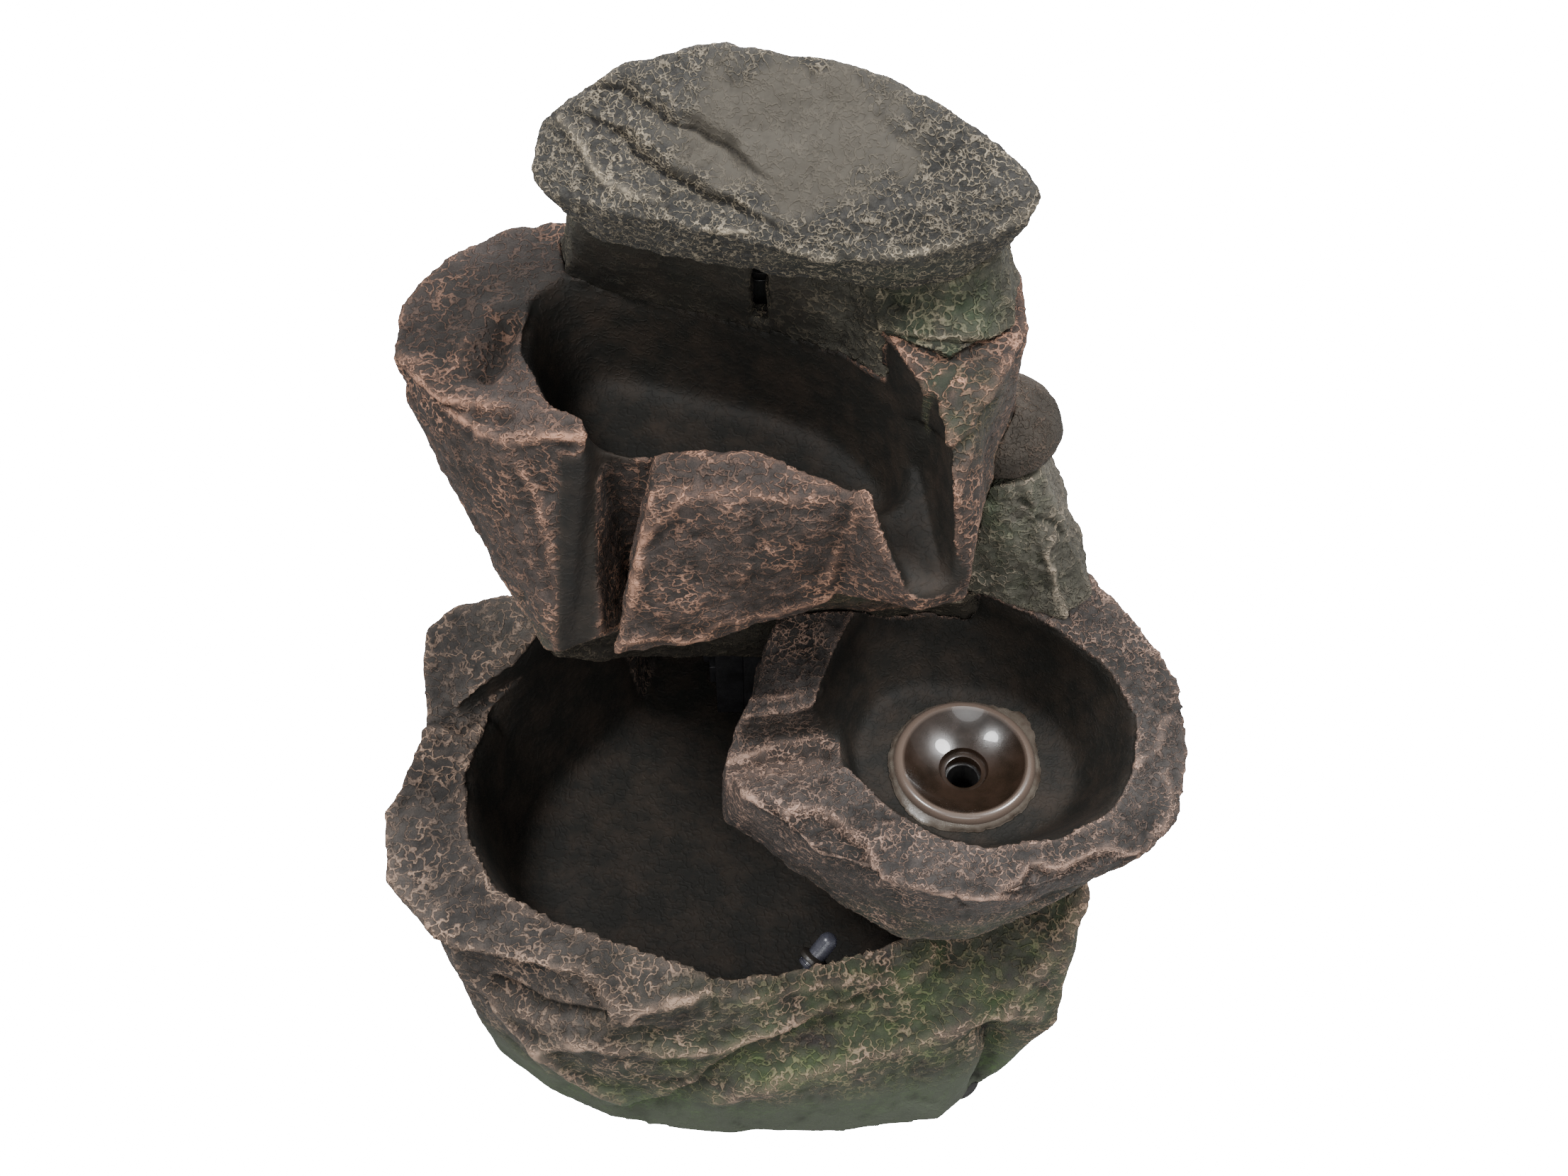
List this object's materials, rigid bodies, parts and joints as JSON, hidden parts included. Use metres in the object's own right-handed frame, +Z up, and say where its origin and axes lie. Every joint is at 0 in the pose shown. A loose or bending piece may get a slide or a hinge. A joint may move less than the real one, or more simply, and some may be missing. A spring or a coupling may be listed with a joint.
{
  "type": "tabletop water fountain",
  "caption": "Stacked-rock indoor fountain: an upper bowl spills through two spouts into a ball-cup bowl and a basin, with a pump behind a rear door.",
  "frame": {"origin": "middle of the footprint's box at the height of the table", "axes": "+Z up, -Y towards the viewer in front, +X to the right where the middle bowl is"},
  "size_m": [0.2055, 0.17, 0.262],
  "materials": {
    "base_stone": "painted cast resin, matt, moss wash",
    "stone": "painted cast resin, matt",
    "copper_stone": "painted cast resin, copper dry brush",
    "cap_stone": "painted cast resin, pale dry brush",
    "door_plastic": "moulded, fine texture",
    "rubber": "matt",
    "cup_plastic": "gloss varnish over brown",
    "sealant": "clear sealant",
    "black_plastic": "moulded",
    "led_lens": "diffuse lens",
    "lead_cover": "vinyl",
    "pump_plastic": "moulded",
    "regulator_plastic": "moulded",
    "impeller_plastic": "moulded",
    "ceramic": "polished ceramic",
    "hose_vinyl": "clear vinyl"
  },
  "bodies": {
    "fountain": {"base_casting": "base_stone", "pump_tower": "stone", "middle_bowl": "stone", "shoulder_rock": "stone", "upper_bowl": "copper_stone", "crown_rock": "stone", "cap_stone": "cap_stone", "side_pebble": "copper_stone", "foot_pads": "rubber", "cord_gland": "rubber", "ball_cup": "cup_plastic", "cup_seal": "sealant", "jet_elbow": "black_plastic", "cup_led": "led_lens", "basin_led": "led_lens", "led_seal": "sealant", "basin_led_lead": "lead_cover", "cup_led_lead": "lead_cover", "pump_lead": "lead_cover", "lead_splice": "black_plastic", "pump_body": "pump_plastic", "volute_plate": "pump_plastic", "impeller_shaft": "ceramic", "shaft_bushes": "rubber", "suction_cups": "rubber", "pump_hose": "hose_vinyl", "hose_tee": "black_plastic", "riser_hose": "hose_vinyl", "spring_nozzle": "black_plastic", "ball_hose": "hose_vinyl", "hose_grommet": "rubber"},
    "rear_door": {"rear_door": "door_plastic"},
    "intake_cover": {"pump_cover": "pump_plastic"},
    "regulator": {"flow_regulator": "regulator_plastic"},
    "rotor": {"impeller": "impeller_plastic"}
  },
  "joints": [
    {"name": "rear_door_pull", "type": "slide", "parent": "fountain", "child": "rear_door", "axis": [0, 1, 0], "range_m": [0, 0.06]},
    {"name": "intake_cover_pull", "type": "slide", "parent": "fountain", "child": "intake_cover", "axis": [-1, 0, 0], "range_m": [0, 0.012]},
    {"name": "regulator_slide", "type": "slide", "parent": "intake_cover", "child": "regulator", "axis": [0, 1, 0], "range_m": [-0.004, 0.004]},
    {"name": "impeller_spin", "type": "hinge", "parent": "fountain", "child": "rotor", "pos_m": [0, 0.05, 0.042], "axis": [1, 0, 0], "continuous": true}
  ]
}
